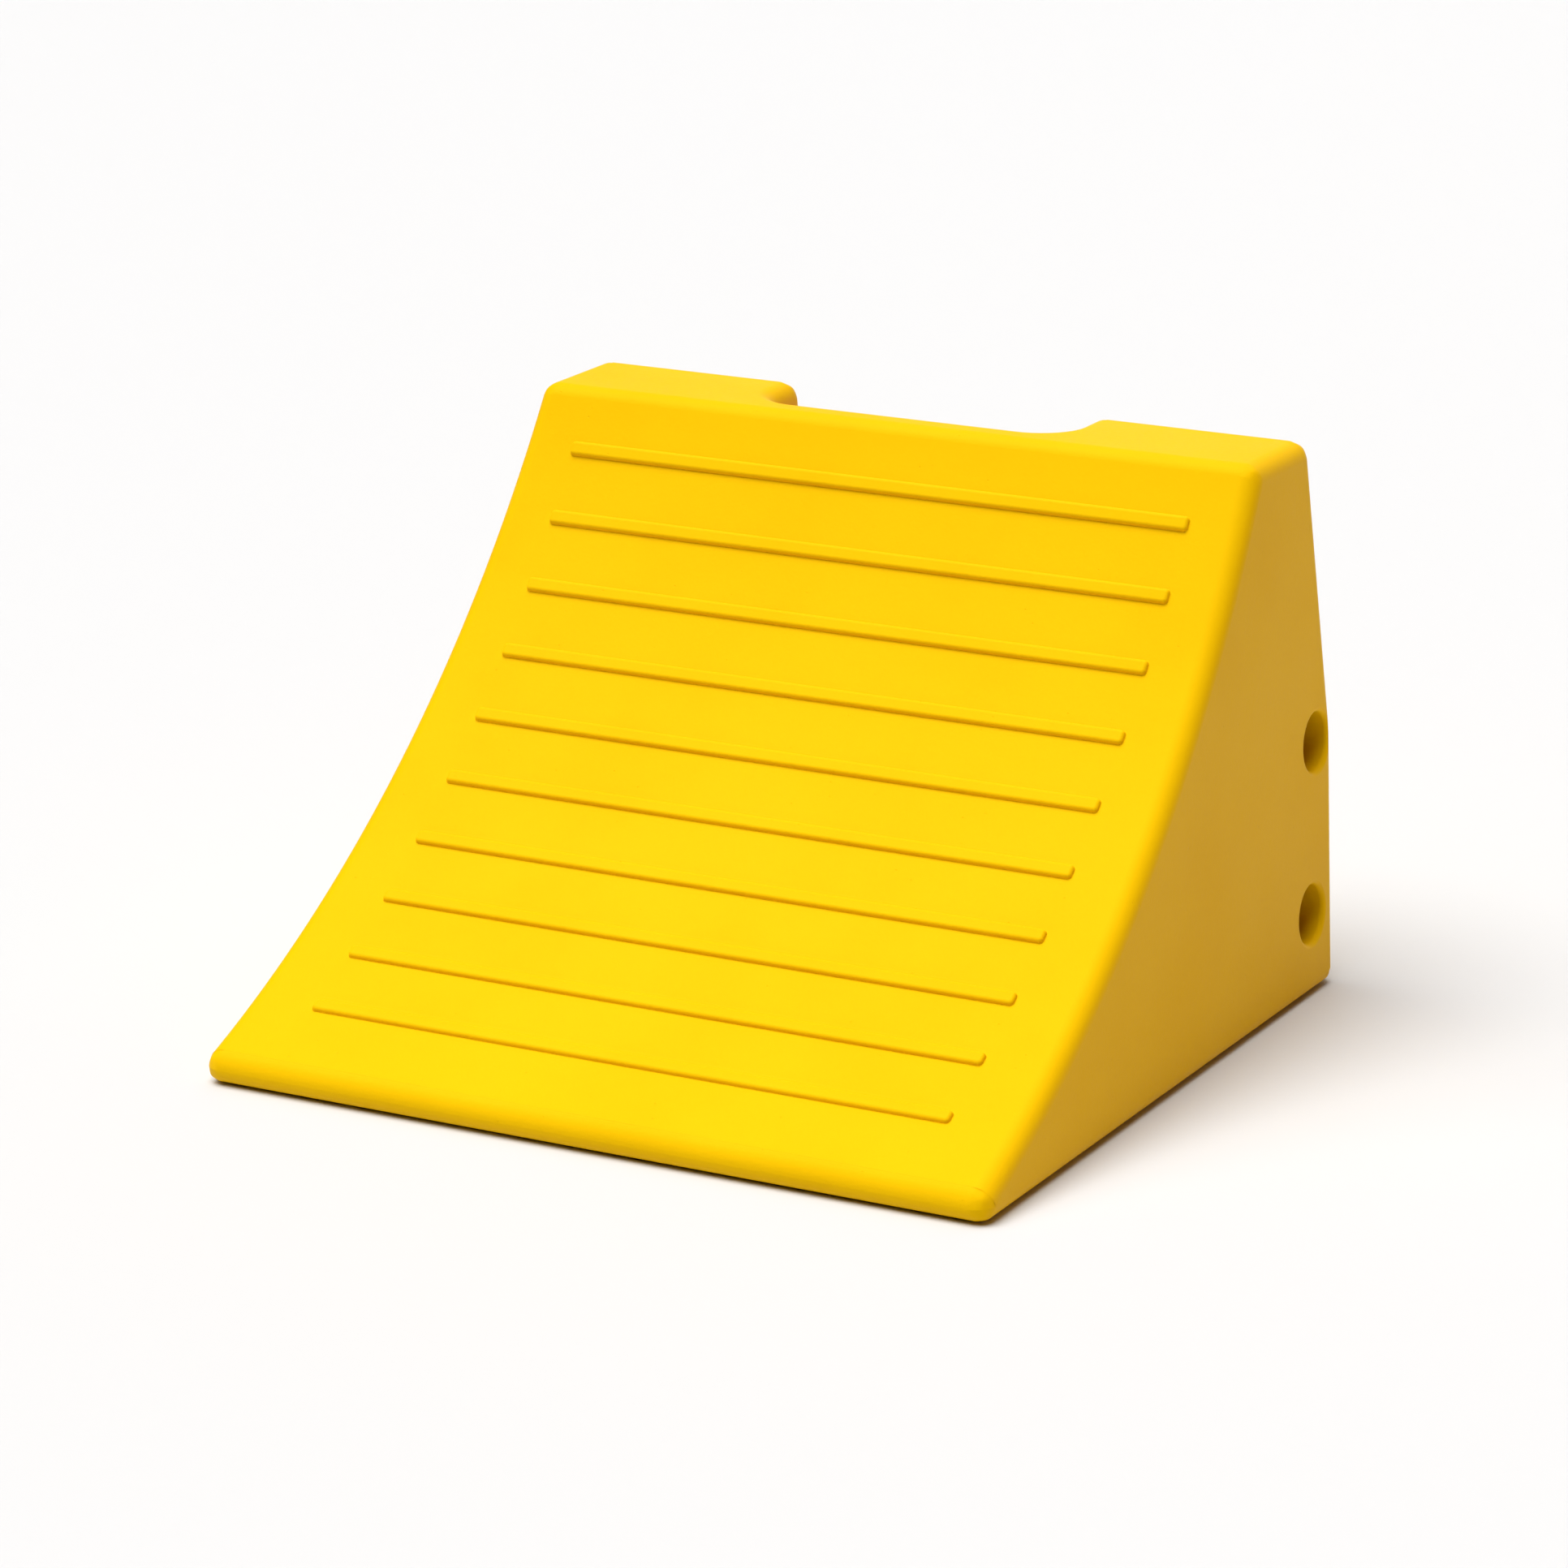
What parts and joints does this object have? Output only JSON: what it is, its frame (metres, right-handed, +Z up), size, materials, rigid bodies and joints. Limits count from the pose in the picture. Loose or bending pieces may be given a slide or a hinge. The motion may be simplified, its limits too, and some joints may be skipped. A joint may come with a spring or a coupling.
{
  "type": "wheel chock",
  "caption": "Heavy wedge-shaped wheel chock with a ribbed concave tyre face, a hand notch in the back of its top, rope bores across its rear and a rubber sole.",
  "frame": {"origin": "on the floor, midway across the width and midway from the toe to the rear face", "axes": "+Z up, the concave tyre face looks towards -Y, X runs across the width, the rear face looks towards +Y"},
  "size_m": [0.391, 0.375, 0.265],
  "materials": {
    "urethane": "satin",
    "foam": "matte",
    "sole_rubber": "matte",
    "liner": "satin"
  },
  "bodies": {
    "root": {"casing": "urethane", "core": "foam", "base_plate": "urethane", "sole": "sole_rubber", "upper_bore_liner": "liner", "lower_bore_liner": "liner"}
  },
  "joints": []
}
